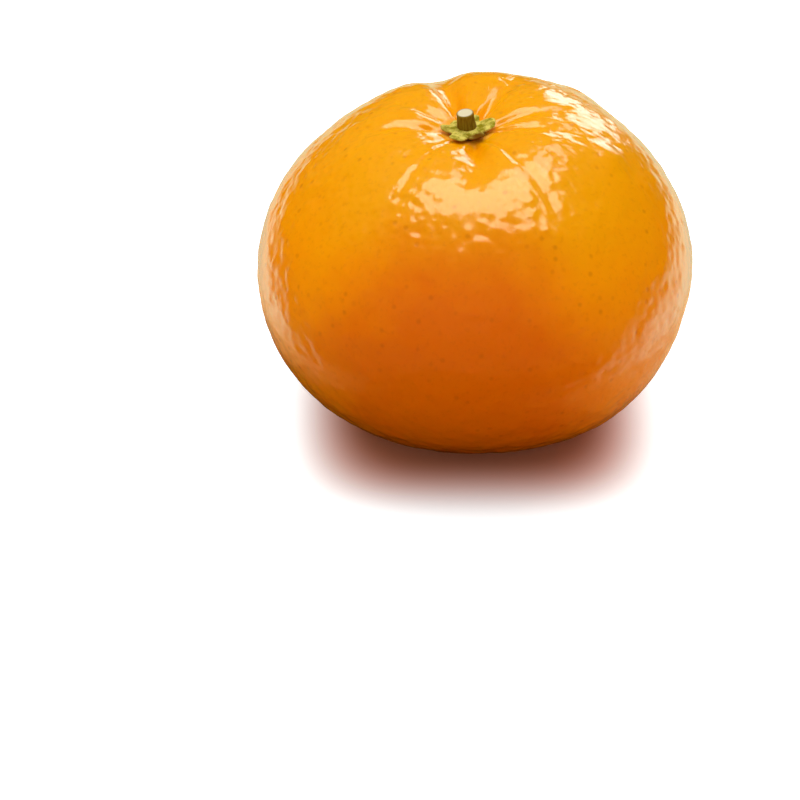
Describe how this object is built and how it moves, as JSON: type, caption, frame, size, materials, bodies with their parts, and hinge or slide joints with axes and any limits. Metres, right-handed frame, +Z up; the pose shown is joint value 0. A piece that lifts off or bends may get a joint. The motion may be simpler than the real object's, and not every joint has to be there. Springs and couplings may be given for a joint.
{
  "type": "mandarin",
  "caption": "Whole glossy mandarin fruit with furrowed stem end, green star calyx and short cut stem, resting on its blossom end.",
  "frame": {"origin": "under the middle of the fruit, on the surface that it rests on", "axes": "+Z up from the blossom end to the cut stem, -Y towards the fruit's front, +X to its right"},
  "size_m": [0.065, 0.065, 0.0501],
  "materials": {
    "peel": "waxy pitted citrus peel, glossy",
    "calyx_green": "dry matte green calyx",
    "stem_wood": "matte olive-brown bark with a pale cut end"
  },
  "bodies": {
    "root": {"fruit": "peel", "calyx": "calyx_green", "stem": "stem_wood"}
  },
  "joints": []
}
